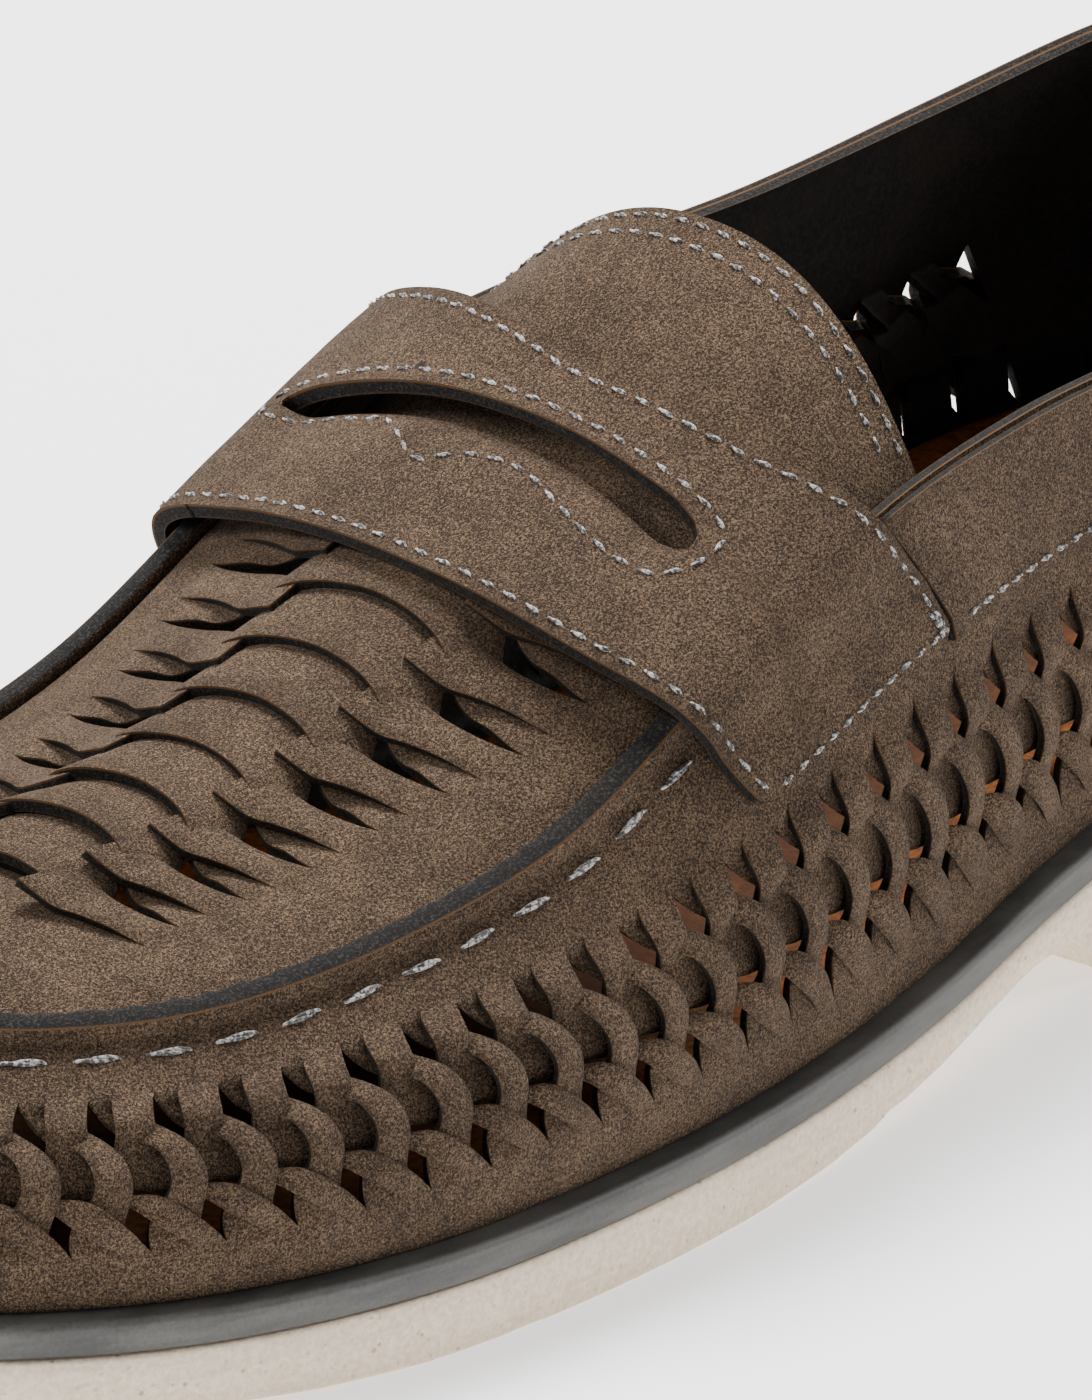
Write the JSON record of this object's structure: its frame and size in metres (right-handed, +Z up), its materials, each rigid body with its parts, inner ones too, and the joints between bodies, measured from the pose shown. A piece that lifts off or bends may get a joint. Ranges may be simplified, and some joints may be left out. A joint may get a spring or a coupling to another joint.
{
  "type": "loafer",
  "caption": "Left slip-on loafer: woven suede upper with a raised moccasin seam, slotted strap over the instep, tongue, collar band and low rubber sole with a heel.",
  "frame": {"origin": "middle of the outsole's outline, on the floor", "axes": "+X from toe to heel, -Y the outer side of the foot, +Z up"},
  "size_m": [0.3, 0.1036, 0.0937],
  "materials": {
    "suede": "napped suede, taupe",
    "dark_rubber": "satin dark grey",
    "cream_rubber": "matt cream with fine specks",
    "tan_leather": "fibrous tan",
    "lining": "smooth black lining",
    "thread": "twisted grey-white thread"
  },
  "bodies": {
    "root": {"upper": "suede", "midsole": "dark_rubber", "outsole": "cream_rubber", "insole": "tan_leather", "tongue": "suede", "strap": "suede", "collar_band": "suede"}
  },
  "joints": []
}
